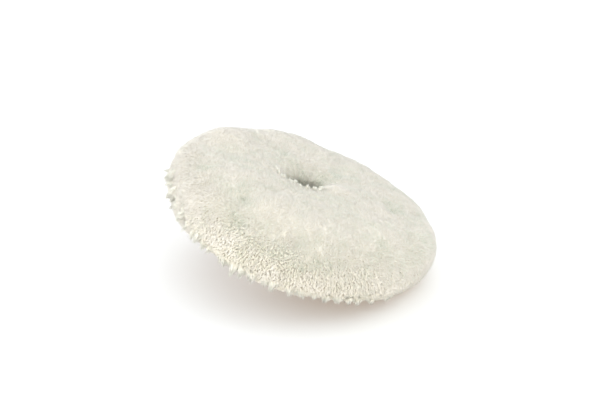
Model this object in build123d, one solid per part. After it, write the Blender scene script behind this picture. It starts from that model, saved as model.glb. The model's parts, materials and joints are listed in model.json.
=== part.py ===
"""Wool polishing pad on its hook-and-loop backing plate.

Millimetres. +Z is the spindle axis and the wool face is up. The origin is the centre of the hub's seating
face, which is the lowest face. Each sub-part is a function that returns its solids, and each is written to
its own file.
"""

import math
import os

from build123d import *

# ---------------------------------------------------------------- driving dimensions

PLATE_RADIUS = 60.0            # outside of the moulded plate and of the foam
RIM_PILE_LENGTH = 12.5         # how far the wool stands out from the canvas' turned-down edge
CENTRE_HOLE_RADIUS = 12.0      # through the pad's cloth and wool

# hub: hexagon, flange and spigot, with the spindle thread's core all the way through
THREAD_CORE_RADIUS = 6.0       # tapping size of M14 x 2
THREAD_ENTRY_RADIUS = 7.25     # mouth of the countersink that leads the spindle in
HEX_ACROSS_FLATS = 22.0
HEX_HEIGHT = 7.5
FLANGE_THICKNESS = 3.0
FLANGE_EDGE = 1.6              # from a rivet's head to the flange's edge
SPIGOT_RADIUS = 10.0
HUB_CHAMFER = 0.6

# rivets
RIVET_COUNT = 4
RIVET_RADIUS = 2.0
RIVET_HEAD_RADIUS = 3.2
RIVET_HEAD_HEIGHT = 1.5
RIVET_HEAD_FILLET = 1.2
RIVET_BUCKED_HEIGHT = 1.0

# moulded plate
BOSS_EDGE = 5.0                # how far the boss reaches outside the flange
BOSS_HEIGHT = 5.5              # from the flange to the underside of the web
WEB_THICKNESS = 3.5
RIM_WIDTH = 3.0
RIM_DROP = 1.2                 # how far the rim reaches below the web
RIB_COUNT = 12
RIB_THICKNESS = 2.4
RIB_OVERLAP = 0.8              # how far a rib runs into the boss and the rim
RIB_STEP = 0.6                 # how far a rib stays above the boss' lowest face
PLATE_EDGE_FILLET = 0.5

# steel disc let into the front of the plate
REINFORCING_RADIUS = 28.0
REINFORCING_THICKNESS = 1.5
PLATE_BORE_RADIUS = 7.5        # centre hole of the disc, the foam and the hook disc

# soft layers of the plate
FOAM_THICKNESS = 8.0
FOAM_EDGE_FILLET = 1.0
HOOK_THICKNESS = 1.2
HOOK_SETBACK = 0.5             # the hook disc's edge inside the flat of the foam

# cloth layers of the pad
LOOP_THICKNESS = 1.2
LATEX_THICKNESS = 0.5
CANVAS_THICKNESS = 1.0
SKIRT_GAP = 2.2                # between the plate's edge and the canvas' turned-down edge
SKIRT_DEPTH = 7.0              # how far the turned-down edge reaches below the flat canvas
CANVAS_INNER_BEND = 0.6        # inside radius of the bend
CLOTH_SETBACK = 1.2            # edge of the loop cloth and latex inside the turned-down edge

# running stitch round the hem, on the inner side of the turned-down edge
STITCH_RADIUS = 0.35
STITCH_COUNT = 72
STITCH_GAP = 1.2               # from the end of one stitch to the start of the next
STITCH_RISE = 2.4              # above the canvas' lower edge

# wool
FACE_PILE_HEIGHT = 25.6
FACE_SHOULDER_DROP = 2.1       # the face is lower at its edge than at its crown
FACE_CROWN_RADIUS = 42.0
FUNNEL_RADIUS = 9.0            # round lip of the centre hole
RIM_HANG = 4.4                 # how far the rim's wool hangs below the canvas
RIM_UNDER_HEIGHT = 17.0        # from the lowest wool to where the rim is widest

# clearances
SPANNER_CLEARANCE = 0.3        # from the hexagon's corners to the rivets' heads
SPIGOT_CLEARANCE = 0.1
RIVET_CLEARANCE = 0.05
RECESS_CLEARANCE = 0.3
STITCH_CLEARANCE = 0.05
SOFT_CLEARANCE = 0.3

# ---------------------------------------------------------------- heights along the spindle axis

flange_top = HEX_HEIGHT + FLANGE_THICKNESS
web_bottom = flange_top + BOSS_HEIGHT
plate_top = web_bottom + WEB_THICKNESS
rim_bottom = web_bottom - RIM_DROP
bucked_seat = plate_top - RIVET_BUCKED_HEIGHT
disc_bottom = bucked_seat - REINFORCING_THICKNESS
foam_top = plate_top + FOAM_THICKNESS
hook_top = foam_top + HOOK_THICKNESS
loop_top = hook_top + LOOP_THICKNESS
latex_top = loop_top + LATEX_THICKNESS
canvas_top = latex_top + CANVAS_THICKNESS
canvas_lowest = latex_top - SKIRT_DEPTH
face_crown = canvas_top + FACE_PILE_HEIGHT
face_edge = face_crown - FACE_SHOULDER_DROP
rim_lowest = canvas_lowest - RIM_HANG
rim_widest = rim_lowest + RIM_UNDER_HEIGHT

# ---------------------------------------------------------------- radii that follow

hex_corner_radius = HEX_ACROSS_FLATS / math.sqrt(3)
rivet_circle_radius = hex_corner_radius + SPANNER_CLEARANCE + RIVET_HEAD_RADIUS
flange_radius = rivet_circle_radius + RIVET_HEAD_RADIUS + FLANGE_EDGE
boss_radius = flange_radius + BOSS_EDGE
skirt_inner_radius = PLATE_RADIUS + SKIRT_GAP
skirt_outer_radius = skirt_inner_radius + CANVAS_THICKNESS
cloth_radius = skirt_inner_radius - CLOTH_SETBACK
rim_pile_radius = skirt_outer_radius + SOFT_CLEARANCE
spigot_bore_radius = SPIGOT_RADIUS + SPIGOT_CLEARANCE
hook_radius = PLATE_RADIUS - FOAM_EDGE_FILLET - HOOK_SETBACK


# ---------------------------------------------------------------- shapes that repeat

def disc(radius, bottom, top):
    """A cylinder about the spindle axis."""
    standing = (Align.CENTER, Align.CENTER, Align.MIN)
    return Pos(0, 0, bottom) * Cylinder(radius, top - bottom, align=standing)


def ring(inner_radius, outer_radius, bottom, top):
    """A flat ring about the spindle axis."""
    return disc(outer_radius, bottom, top) - disc(inner_radius, bottom, top)


def turned(outline):
    """A solid of revolution from closed lines of (radius, height)."""
    return revolve(Plane.XZ * make_face(outline), Axis.Z, 360)


def at_rivets(shape):
    """A copy of the shape at each rivet's place."""
    places = PolarLocations(rivet_circle_radius, RIVET_COUNT, start_angle=180 / RIVET_COUNT)
    return [place * shape for place in places]


def rivet_holes(bottom, top):
    """Cutters for the rivet holes through one layer."""
    return at_rivets(disc(RIVET_RADIUS + RIVET_CLEARANCE, bottom, top))


def circles_at(shape, radius):
    """The shape's round edges of that radius."""
    circles = shape.edges().filter_by(GeomType.CIRCLE)
    return [edge for edge in circles if abs(edge.radius - radius) < 0.01]


# ---------------------------------------------------------------- the plate's side

def threaded_hub():
    """Hexagon, flange and spigot in one turned piece, bored at the thread's core."""
    hexagon = extrude(RegularPolygon(HEX_ACROSS_FLATS / 2, 6, major_radius=False), HEX_HEIGHT)
    hexagon = chamfer(hexagon.edges().group_by(Axis.Z)[0], HUB_CHAMFER)
    flange = disc(flange_radius, HEX_HEIGHT, flange_top)
    flange = chamfer(flange.edges().group_by(Axis.Z)[0], HUB_CHAMFER)
    spigot = disc(SPIGOT_RADIUS, flange_top, disc_bottom)
    bore = disc(THREAD_CORE_RADIUS, 0, disc_bottom)
    entry_depth = THREAD_ENTRY_RADIUS - THREAD_CORE_RADIUS
    entry = turned(Polyline((0, 0), (THREAD_ENTRY_RADIUS, 0), (THREAD_CORE_RADIUS, entry_depth),
                            (0, entry_depth), close=True))
    return [hexagon + flange + spigot - bore - entry - rivet_holes(HEX_HEIGHT, flange_top)]


def hub_rivets():
    """Rivets with a low head on the flange and a flat bucked head on the reinforcing disc."""
    shank = disc(RIVET_RADIUS, HEX_HEIGHT, bucked_seat)
    head = disc(RIVET_HEAD_RADIUS, HEX_HEIGHT - RIVET_HEAD_HEIGHT, HEX_HEIGHT)
    head = fillet(head.edges().group_by(Axis.Z)[0], RIVET_HEAD_FILLET)
    bucked = disc(RIVET_HEAD_RADIUS, bucked_seat, plate_top)
    return at_rivets(shank + head + bucked)


def backing_plate():
    """Moulded plate: boss, web, rim and radial ribs on its back, recess in its front."""
    boss = ring(spigot_bore_radius, boss_radius, flange_top, web_bottom)
    web = ring(spigot_bore_radius, PLATE_RADIUS, web_bottom, plate_top)
    rim = ring(PLATE_RADIUS - RIM_WIDTH, PLATE_RADIUS, rim_bottom, web_bottom)
    rib_root = boss_radius - RIB_OVERLAP
    rib_tip = PLATE_RADIUS - RIM_WIDTH + RIB_OVERLAP
    rib_side = Polyline((rib_root, flange_top + RIB_STEP), (rib_root, web_bottom), (rib_tip, web_bottom),
                        (rib_tip, rim_bottom), close=True)
    rib = extrude(Plane.XZ * make_face(rib_side), RIB_THICKNESS / 2, both=True)
    ribs = [place * rib for place in PolarLocations(0, RIB_COUNT)]
    recess = disc(REINFORCING_RADIUS + RECESS_CLEARANCE, disc_bottom, plate_top)
    plate = boss + web + rim + ribs - recess - rivet_holes(flange_top, disc_bottom)
    return [fillet(circles_at(plate, PLATE_RADIUS), PLATE_EDGE_FILLET)]


def reinforcing_disc():
    """Steel disc in the recess of the plate, under the rivets' bucked heads."""
    steel = ring(PLATE_BORE_RADIUS, REINFORCING_RADIUS, disc_bottom, bucked_seat)
    return [steel - rivet_holes(disc_bottom, bucked_seat)]


def foam_cushion():
    """Foam disc glued to the front of the plate."""
    foam = ring(PLATE_BORE_RADIUS, PLATE_RADIUS, plate_top, foam_top)
    return [fillet(circles_at(foam, PLATE_RADIUS), FOAM_EDGE_FILLET)]


def hook_disc():
    """Hook half of the fastening, on the foam."""
    return [ring(PLATE_BORE_RADIUS, hook_radius, foam_top, hook_top)]


# ---------------------------------------------------------------- the pad's side

def loop_cloth():
    """Loop half of the fastening, on the back of the pad."""
    return [ring(CENTRE_HOLE_RADIUS, cloth_radius, hook_top, loop_top)]


def latex_coat():
    """Latex that locks the tufts and bonds the loop cloth to the canvas."""
    return [ring(CENTRE_HOLE_RADIUS, cloth_radius, loop_top, latex_top)]


def tufted_canvas():
    """Woven canvas that carries the wool: flat, then turned down round the plate's edge."""
    section = make_face(Polyline((CENTRE_HOLE_RADIUS, latex_top), (CENTRE_HOLE_RADIUS, canvas_top),
                                 (skirt_outer_radius, canvas_top), (skirt_outer_radius, canvas_lowest),
                                 (skirt_inner_radius, canvas_lowest), (skirt_inner_radius, latex_top),
                                 close=True))
    outer_corner = section.vertices().sort_by_distance((skirt_outer_radius, canvas_top, 0))[0]
    section = fillet(outer_corner, CANVAS_INNER_BEND + CANVAS_THICKNESS)
    inner_corner = section.vertices().sort_by_distance((skirt_inner_radius, latex_top, 0))[0]
    section = fillet(inner_corner, CANVAS_INNER_BEND)
    return [revolve(Plane.XZ * section, Axis.Z, 360)]


def edge_stitching():
    """Running stitch that holds the hem, lying on the inner side of the turned-down edge."""
    row_radius = skirt_inner_radius - STITCH_RADIUS - STITCH_CLEARANCE
    pitch = 2 * math.pi * row_radius / STITCH_COUNT
    bar = Cylinder(STITCH_RADIUS, pitch - STITCH_GAP, rotation=(90, 0, 0))
    row_height = canvas_lowest + STITCH_RISE
    return [Pos(0, 0, row_height) * place * bar for place in PolarLocations(row_radius, STITCH_COUNT)]


def wool_face():
    """Pile of the face: level crown, falling edge, and a funnel into the centre hole."""
    funnel_end = CENTRE_HOLE_RADIUS + FUNNEL_RADIUS
    funnel_foot = face_crown - FUNNEL_RADIUS
    hole_wall = Line((CENTRE_HOLE_RADIUS, canvas_top), (CENTRE_HOLE_RADIUS, funnel_foot))
    funnel = CenterArc((funnel_end, funnel_foot), FUNNEL_RADIUS, 90, 90)
    crown = Line((funnel_end, face_crown), (FACE_CROWN_RADIUS, face_crown))
    shoulder = TangentArc((FACE_CROWN_RADIUS, face_crown), (skirt_outer_radius, face_edge), tangent=(1, 0))
    edge = Polyline((skirt_outer_radius, face_edge), (skirt_outer_radius, canvas_top),
                    (CENTRE_HOLE_RADIUS, canvas_top))
    return [turned([hole_wall, funnel, crown, shoulder, edge])]


def wool_rim():
    """Pile of the turned-down edge: stands out round the plate and hangs below the canvas."""
    widest = (rim_pile_radius, rim_widest)
    upper = EllipticalCenterArc(widest, RIM_PILE_LENGTH, face_edge - rim_widest, start_angle=0, arc_size=90)
    lower = EllipticalCenterArc(widest, RIM_PILE_LENGTH, RIM_UNDER_HEIGHT, start_angle=270, arc_size=90)
    inner = Line((rim_pile_radius, face_edge), (rim_pile_radius, rim_lowest))
    return [turned([upper, inner, lower])]


SUB_PARTS = [threaded_hub, hub_rivets, backing_plate, reinforcing_disc, foam_cushion, hook_disc, loop_cloth,
             latex_coat, tufted_canvas, edge_stitching, wool_face, wool_rim]

os.makedirs("parts", exist_ok=True)
for sub_part in SUB_PARTS:
    export_step(Compound(children=sub_part()), f"parts/{sub_part.__name__}.step")
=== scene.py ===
"""A wool polishing pad on its hook-and-loop backing plate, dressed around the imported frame.

Everything is in metres and in the frame's own axes: +Z is the spindle axis and the wool face is up. The pad
leans on a floor of its own, which touches the hub's hexagon and the lowest wool of the rim, so the floor, the
lamps and the camera are turned about the pad, and the pad itself stays where the frame has it.
"""

from __future__ import annotations

import json
import logging
import math
from dataclasses import dataclass, field
from enum import Enum
from typing import Callable, Mapping, Sequence

import bmesh
import bpy
import numpy as np
from bpy.types import Collection, Material, Mesh, Node, NodeSocket, NodeTree, Object
from mathutils import Matrix, Vector, noise

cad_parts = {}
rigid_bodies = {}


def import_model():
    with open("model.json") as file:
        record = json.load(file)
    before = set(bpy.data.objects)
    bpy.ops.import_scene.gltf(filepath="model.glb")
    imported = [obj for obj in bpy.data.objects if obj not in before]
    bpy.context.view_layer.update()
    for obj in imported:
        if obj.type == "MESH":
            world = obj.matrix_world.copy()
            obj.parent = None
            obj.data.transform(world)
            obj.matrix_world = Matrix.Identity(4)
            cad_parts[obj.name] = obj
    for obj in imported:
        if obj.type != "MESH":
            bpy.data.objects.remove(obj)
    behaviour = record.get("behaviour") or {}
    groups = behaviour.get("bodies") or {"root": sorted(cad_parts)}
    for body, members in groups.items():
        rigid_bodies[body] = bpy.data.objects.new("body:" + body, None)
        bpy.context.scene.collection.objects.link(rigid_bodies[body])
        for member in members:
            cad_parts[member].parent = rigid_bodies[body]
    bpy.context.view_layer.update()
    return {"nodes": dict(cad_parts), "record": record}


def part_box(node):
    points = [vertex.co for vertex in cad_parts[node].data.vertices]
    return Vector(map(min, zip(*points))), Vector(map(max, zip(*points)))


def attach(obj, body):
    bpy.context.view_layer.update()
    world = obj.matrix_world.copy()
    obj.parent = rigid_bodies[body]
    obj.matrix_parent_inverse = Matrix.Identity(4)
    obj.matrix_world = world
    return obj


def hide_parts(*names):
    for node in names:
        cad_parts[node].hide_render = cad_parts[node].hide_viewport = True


for leftover in list(bpy.data.objects):
    bpy.data.objects.remove(leftover)

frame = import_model()

MM = 0.001
TURN = 2 * math.pi
STRAND_MAP = "OFBake"
NOISE_LOW, NOISE_HIGH = 0.35, 0.65
LOG = logging.getLogger("polishing_pad")

Triple = tuple[float, float, float]
Pair = tuple[float, float]
Sockets = Mapping[str, NodeSocket]
Inputs = Mapping[int | str, object]


class Body(str, Enum):
    """The rigid bodies of the frame."""

    PLATE = "plate"
    PAD = "pad"


class Slot(str, Enum):
    """The record's material slots."""

    WOOL = "wool"
    CANVAS = "canvas"
    LATEX = "latex"
    LOOP = "loop"
    THREAD = "thread"
    HOOK = "hook"
    FOAM = "foam"
    PLATE = "plate"
    STEEL = "steel"
    RIVET = "rivet"


# ---- node wiring


class Wiring:
    """Adds nodes to one node tree and joins them up."""

    def __init__(self, tree: NodeTree) -> None:
        """Keep the tree that is being wired."""
        self.tree = tree

    def add(self, kind: str, inputs: Inputs | None = None, **settings: object) -> Node:
        """Add one node.

        Args:
            kind: the node's type name.
            inputs: a value or another node's output for each named or numbered input.
            settings: the node's own properties.

        Returns:
            The new node.
        """
        node = self.tree.nodes.new(kind)
        for name, value in settings.items():
            setattr(node, name, value)
        for key, value in (inputs or {}).items():
            self.feed(self.socket(node.inputs, key), value)
        return node

    def out(self, kind: str, inputs: Inputs | None = None, **settings: object) -> NodeSocket:
        """Add one node as add() does, and give back its first output in use."""
        return next(output for output in self.add(kind, inputs, **settings).outputs if output.enabled)

    def socket(self, sockets: Sequence[NodeSocket], key: int | str) -> NodeSocket:
        """Find a socket.

        Args:
            sockets: a node's inputs or outputs.
            key: the socket's number, identifier or name.

        Returns:
            The socket.
        """
        if isinstance(key, int):
            return sockets[key]
        for candidate in sockets:
            if candidate.identifier == key:
                return candidate
        return next(candidate for candidate in sockets if candidate.name == key and candidate.enabled)

    def feed(self, socket: NodeSocket, value: object) -> None:
        """Give a socket its value.

        Args:
            socket: the input.
            value: another node's output to link, or a plain value.
        """
        if isinstance(value, NodeSocket):
            self.tree.links.new(value, socket)
        else:
            socket.default_value = value

    def maths(self, operation: str, *values: object) -> NodeSocket:
        """A number worked out from numbers."""
        return self.out("ShaderNodeMath", dict(enumerate(values)), operation=operation)

    def vector(self, operation: str, *values: object) -> NodeSocket:
        """A vector worked out from vectors, or from one vector and the number that scales it."""
        keys = (0, "Scale") if operation == "SCALE" else (0, 1)
        return self.out("ShaderNodeVectorMath", dict(zip(keys, values)), operation=operation)

    def mix_colour(self, share: object, first: object, second: object) -> NodeSocket:
        """Two colours mixed, with the second's share."""
        inputs = {"Factor_Float": share, "A_Color": first, "B_Color": second}
        return self.socket(self.add("ShaderNodeMix", inputs, data_type="RGBA").outputs, "Result_Color")

    def spread(self, value: object, low: float, high: float, to_low: float, to_high: float) -> NodeSocket:
        """A number carried from one range to another and held inside it."""
        limits = dict(enumerate((value, low, high, to_low, to_high)))
        return self.out("ShaderNodeMapRange", limits, clamp=True)

    def strand_map(self) -> Sequence[NodeSocket]:
        """A strand's own map: its tone across, and its height up."""
        return self.add("ShaderNodeSeparateXYZ", {0: self.out("ShaderNodeUVMap", uv_map=STRAND_MAP)}).outputs

    def given(self) -> dict[str, NodeSocket]:
        """The tree's own inputs by name."""
        return {socket.name: socket for socket in self.add("NodeGroupInput").outputs if socket.name}


def rgba(colour: Sequence[float]) -> tuple[float, float, float, float]:
    """A colour with full alpha."""
    return (colour[0], colour[1], colour[2], 1.0)


def shader_group(name: str, inputs: Mapping[str, float], outputs: Mapping[str, str],
                 wire: Callable[[Wiring, Sockets], Mapping[str, object]],
                 ) -> NodeTree:
    """Build a shader node group once.

    Args:
        name: the group's name.
        inputs: each input's name and usual value; "Place" is always the first, a vector.
        outputs: each output's name and socket type.
        wire: adds the nodes, given the inputs, and gives back what feeds each output.

    Returns:
        The group.
    """
    group = bpy.data.node_groups.new(name, "ShaderNodeTree")
    group.interface.new_socket("Place", in_out="INPUT", socket_type="NodeSocketVector")
    for label, value in inputs.items():
        group.interface.new_socket(label, in_out="INPUT", socket_type="NodeSocketFloat").default_value = value
    for label, kind in outputs.items():
        group.interface.new_socket(label, in_out="OUTPUT", socket_type=kind)
    wiring = Wiring(group)
    wiring.add("NodeGroupOutput", dict(wire(wiring, wiring.given())))
    return group


def geometry_tree(name: str, inputs: Mapping[str, str]) -> tuple[NodeTree, Wiring, Sockets]:
    """Start a geometry tree that takes a geometry and gives one back.

    Args:
        name: the tree's name.
        inputs: each further input's name, and "Float", "Int" or "String".

    Returns:
        The tree, its wiring and its inputs by name.
    """
    tree = bpy.data.node_groups.new(name, "GeometryNodeTree")
    tree.is_modifier = True
    for label, kind in {"Geometry": "Geometry", **inputs}.items():
        tree.interface.new_socket(label, in_out="INPUT", socket_type="NodeSocket" + kind)
    tree.interface.new_socket("Geometry", in_out="OUTPUT", socket_type="NodeSocketGeometry")
    wiring = Wiring(tree)
    return tree, wiring, wiring.given()


def blank_material(name: str) -> tuple[Material, Wiring]:
    """Start a material with no nodes.

    Args:
        name: the material's name.

    Returns:
        The material and its wiring.
    """
    material = bpy.data.materials.new(name)
    material.use_nodes = True
    material.node_tree.nodes.clear()
    return material, Wiring(material.node_tree)


# ---- finishes


@dataclass(frozen=True)
class Finish:
    """What every finish has: a name, a colour and a gloss."""

    name: str
    colour: Triple
    roughness: float = 0.8
    sheen: float = 0.0

    def start(self) -> tuple[Material, Wiring, Node]:
        """A material with one surface shader that has the finish's plain values.

        Returns:
            The material, its wiring and its surface shader.
        """
        material, wiring = blank_material(self.name)
        plain = {"Base Color": rgba(self.colour), "Roughness": self.roughness, "Sheen Weight": self.sheen,
                 "Sheen Roughness": 0.5}
        surface = wiring.add("ShaderNodeBsdfPrincipled", plain)
        wiring.add("ShaderNodeOutputMaterial", {"Surface": surface.outputs[0]})
        return material, wiring, surface

    def material(self) -> Material:
        """The finish as a material."""
        return self.start()[0]


@dataclass(frozen=True)
class WoolFibre(Finish):
    """Cut wool, as worn by the nap and the locks.

    Each strand's own map holds its tone across and its height up, so that roots are darker than tips as a
    painted shade among the strands, cool strands lie among warm ones, and the lowest tones take a deep
    painted shade.
    """

    root: Triple = (0.88, 0.83, 0.69)
    deep_shade: Triple = (0.52, 0.57, 0.44)
    cool: Triple = (0.88, 0.90, 0.79)
    warm: Triple = (0.99, 0.955, 0.87)
    deep_shade_tones: Pair = (0.05, 0.30)
    cool_tones: Pair = (0.35, 0.62)
    warm_tones: Pair = (0.62, 0.90)
    root_height: float = 0.55

    def material(self) -> Material:
        """The finish as a material.

        Returns:
            The material.
        """
        material, wiring, surface = self.start()
        tone, height = wiring.strand_map()[:2]
        plain = wiring.spread(tone, *self.cool_tones, 0, 1)
        tip = wiring.mix_colour(plain, rgba(self.cool), rgba(self.colour))
        tip = wiring.mix_colour(wiring.spread(tone, *self.warm_tones, 0, 1), tip, rgba(self.warm))
        # strands darken towards the root: painted shade among the strands
        rise = wiring.spread(height, 0.0, self.root_height, 0, 1)
        colour = wiring.mix_colour(rise, rgba(self.root), tip)
        # the lowest tones, down the hole's wall and in the deepest hollows, take a deep painted shade
        shade = wiring.spread(tone, *self.deep_shade_tones, 0, 1)
        wiring.feed(surface.inputs["Base Color"], wiring.mix_colour(shade, rgba(self.deep_shade), colour))
        return material


WOOL_FIBRE = WoolFibre("cut wool", (0.955, 0.935, 0.85), 0.9, 0.3)
# The locks grow on the rim's front and underside. Their darker, browner wool is partly painted shade of that
# downward-facing band, and their dark brown roots are painted shade in the gaps between locks.
WOOL_LOCK = WoolFibre("wool lock", (0.90, 0.86, 0.745), 0.9, 0.2, root=(0.46, 0.40, 0.29),
                      cool=(0.82, 0.80, 0.67), warm=(0.98, 0.95, 0.87))


@dataclass(frozen=True)
class Filament(Finish):
    """Fine moulded or knitted filaments, darker low down as painted shade among them, by each strand's own
    map.
    """

    foot_shade: Triple = (0.5, 0.5, 0.5)
    foot_height: float = 0.7

    def material(self) -> Material:
        """The finish as a material.

        Returns:
            The material.
        """
        material, wiring, surface = self.start()
        # filaments darken towards their base: painted shade among them
        rise = wiring.spread(wiring.strand_map()[1], 0.0, self.foot_height, 0, 1)
        wiring.feed(surface.inputs["Base Color"], wiring.mix_colour(rise, rgba(self.foot_shade), rgba(self.colour)))
        return material


@dataclass(frozen=True)
class WoolBed(Finish):
    """The close bed of wool between the strands, in small clots, darker in the clots' hollows as painted
    shade.
    """

    hollow: Triple = (0.90, 0.87, 0.76)
    clots: float = 620.0
    relief: float = 0.6 * MM

    def material(self) -> Material:
        """The finish as a material.

        Returns:
            The material.
        """
        material, wiring, surface = self.start()
        place = wiring.add("ShaderNodeTexCoord").outputs["Object"]
        clots = wiring.out("ShaderNodeTexNoise", {"Vector": place, "Scale": self.clots, "Detail": 4.0})
        share = wiring.spread(clots, NOISE_LOW, NOISE_HIGH, 0, 1)
        # the bump's low places take the hollow colour: painted shade
        colour = wiring.mix_colour(share, rgba(self.hollow), rgba(self.colour))
        wiring.feed(surface.inputs["Base Color"], colour)
        bump = wiring.out("ShaderNodeBump", {"Strength": 0.6, "Distance": self.relief, "Height": clots})
        wiring.feed(surface.inputs["Normal"], bump)
        return material


WOOL_BED = WoolBed("wool bed", (0.96, 0.95, 0.88), 0.95, 0.2)


def _weave(wiring: Wiring, given: Sockets) -> Mapping[str, object]:
    """Over-and-under threads along X and Y, and courses up Z.

    Args:
        wiring: the group's wiring.
        given: the place and the thread pitch.

    Returns:
        The height of the cloth.
    """
    turned = wiring.vector("SCALE", given["Place"], wiring.maths("DIVIDE", math.pi, given["Pitch"]))
    parts = wiring.add("ShaderNodeSeparateXYZ", {0: turned}).outputs
    waves = [wiring.maths("SINE", part) for part in parts]
    crossing = wiring.maths("MULTIPLY", waves[0], waves[1])
    height = wiring.maths("MULTIPLY_ADD", wiring.maths("ABSOLUTE", waves[2]), 0.4, crossing)
    return {"Height": wiring.maths("MULTIPLY_ADD", height, 0.4, 0.5)}


WEAVE = shader_group("weave", {"Pitch": 0.0007}, {"Height": "NodeSocketFloat"}, _weave)


def _grain(wiring: Wiring, given: Sockets) -> Mapping[str, object]:
    """Patches of one size with finer grain over them.

    Args:
        wiring: the group's wiring.
        given: the place, and the scales of the patches and the grain.

    Returns:
        The patches and the grain.
    """
    patches, fine = (wiring.out("ShaderNodeTexNoise",
                                {"Vector": given["Place"], "Scale": given[name], "Detail": detail})
                     for name, detail in (("Patches", 2.0), ("Fine", 3.0)))
    return {"Patch": wiring.spread(patches, NOISE_LOW, NOISE_HIGH, 0, 1), "Fine": fine}


GRAIN = shader_group("grain", {"Patches": 60.0, "Fine": 1500.0},
                     {"Patch": "NodeSocketFloat", "Fine": "NodeSocketFloat"}, _grain)


@dataclass(frozen=True)
class GrainedFinish(Finish):
    """A finish with patches of a second colour, a fine grain and, for cloth, a weave darkened in its hollows
    as painted shade.
    """

    patch: Triple = (0.5, 0.5, 0.5)
    patch_share: float = 0.3
    patches: float = 60.0
    fine: float = 1500.0
    relief: float = 0.05 * MM
    thread_pitch: float = 0.0
    weave_hollow_shade: float = 0.72
    gloss_play: float = 0.08
    metallic: float = 0.0
    coat: float = 0.0

    def material(self) -> Material:
        """The finish as a material.

        Returns:
            The material.
        """
        material, wiring, surface = self.start()
        surface.inputs["Metallic"].default_value = self.metallic
        surface.inputs["Coat Weight"].default_value = self.coat
        place = wiring.add("ShaderNodeTexCoord").outputs["Object"]
        scales = {"Place": place, "Patches": self.patches, "Fine": self.fine}
        grain = wiring.add("ShaderNodeGroup", scales, node_tree=GRAIN)
        share = wiring.maths("MULTIPLY", grain.outputs["Patch"], self.patch_share)
        colour = wiring.mix_colour(share, rgba(self.colour), rgba(self.patch))
        height = grain.outputs["Fine"]
        if self.thread_pitch:
            weave = wiring.add("ShaderNodeGroup", {"Place": place, "Pitch": self.thread_pitch},
                               node_tree=WEAVE)
            height = weave.outputs["Height"]
            # the weave's low places are darkened: painted shade between the threads
            shaded = tuple(self.weave_hollow_shade * part for part in self.colour)
            colour = wiring.mix_colour(wiring.spread(height, 0.2, 0.6, 0, 1), rgba(shaded), colour)
        wiring.feed(surface.inputs["Base Color"], colour)
        low, high = max(self.roughness - self.gloss_play, 0.02), min(self.roughness + self.gloss_play, 1.0)
        wiring.feed(surface.inputs["Roughness"], wiring.spread(grain.outputs["Patch"], 0, 1, low, high))
        bump = wiring.add("ShaderNodeBump", {"Strength": 1.0, "Distance": self.relief, "Height": height})
        wiring.feed(surface.inputs["Normal"], bump.outputs[0])
        return material


CANVAS = GrainedFinish("cotton canvas", (0.80, 0.76, 0.66), 0.9, 0.15, patch=(0.72, 0.66, 0.54),
                       patch_share=0.35, patches=90.0, relief=0.12 * MM, thread_pitch=0.7 * MM)
LATEX = GrainedFinish("latex coat", (0.82, 0.74, 0.52), 0.45, patch=(0.70, 0.60, 0.38), patch_share=0.5,
                      patches=160.0, fine=900.0, relief=0.08 * MM, coat=0.2)
KNIT = GrainedFinish("loop backing", (0.86, 0.86, 0.84), 0.85, 0.1, patch=(0.78, 0.78, 0.76), patch_share=0.4,
                     patches=120.0, fine=2500.0, relief=0.06 * MM, thread_pitch=1.1 * MM)
LOOPS = Filament("nylon loops", (0.91, 0.91, 0.89), 0.6, 0.1, (0.74, 0.74, 0.72))
HOOK_BASE = GrainedFinish("hook tape", (0.045, 0.045, 0.048), 0.6, patch=(0.07, 0.07, 0.07), patch_share=0.4,
                          patches=120.0, fine=2200.0, relief=0.04 * MM, thread_pitch=1.3 * MM)
HOOKS = Filament("nylon hooks", (0.11, 0.11, 0.115), 0.35, 0.0, (0.05, 0.05, 0.053))
FOAM = GrainedFinish("cushion foam", (0.075, 0.075, 0.08), 0.95, 0.05, patch=(0.03, 0.03, 0.032),
                     patch_share=0.7, patches=900.0, fine=1600.0, relief=0.3 * MM)
THREAD = GrainedFinish("polyester thread", (0.88, 0.86, 0.80), 0.7, 0.1, patch=(0.80, 0.77, 0.70),
                       patch_share=0.4, patches=800.0, fine=4000.0, relief=0.04 * MM)
NYLON = GrainedFinish("moulded nylon", (0.028, 0.029, 0.031), 0.52, patch=(0.045, 0.046, 0.048),
                      patch_share=0.6, patches=70.0, fine=2600.0, relief=0.03 * MM)
PLATED = GrainedFinish("zinc plate", (0.62, 0.62, 0.60), 0.34, patch=(0.50, 0.50, 0.50), patch_share=0.6,
                       patches=140.0, fine=1800.0, relief=0.01 * MM, metallic=1.0)
RIVETED = GrainedFinish("rivet steel", (0.66, 0.65, 0.62), 0.28, patch=(0.52, 0.51, 0.50), patch_share=0.5,
                        patches=300.0, fine=2400.0, relief=0.01 * MM, metallic=1.0)


# ---- mesh helpers


def map_rings(made: Object, around: int, count: int) -> None:
    """Give a lathed piece a map: the way round across it, and the way along its section up it.

    Args:
        made: the piece.
        around: how many sections go round.
        count: how many points a section has.
    """
    mesh = made.data
    vertex = np.empty(len(mesh.loops), np.int32)
    mesh.loops.foreach_get("vertex_index", vertex)
    turn, step = vertex.reshape(-1, 4) // count, vertex.reshape(-1, 4) % count
    turn = np.where(turn < turn[:, :1], turn + around, turn)
    step = np.where(step < step[:, :1], step + count, step)
    places = np.stack([turn / around, step / count], axis=-1).astype(np.float32)
    mesh.uv_layers.new(name=STRAND_MAP).uv.foreach_set("vector", places.ravel())


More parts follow.
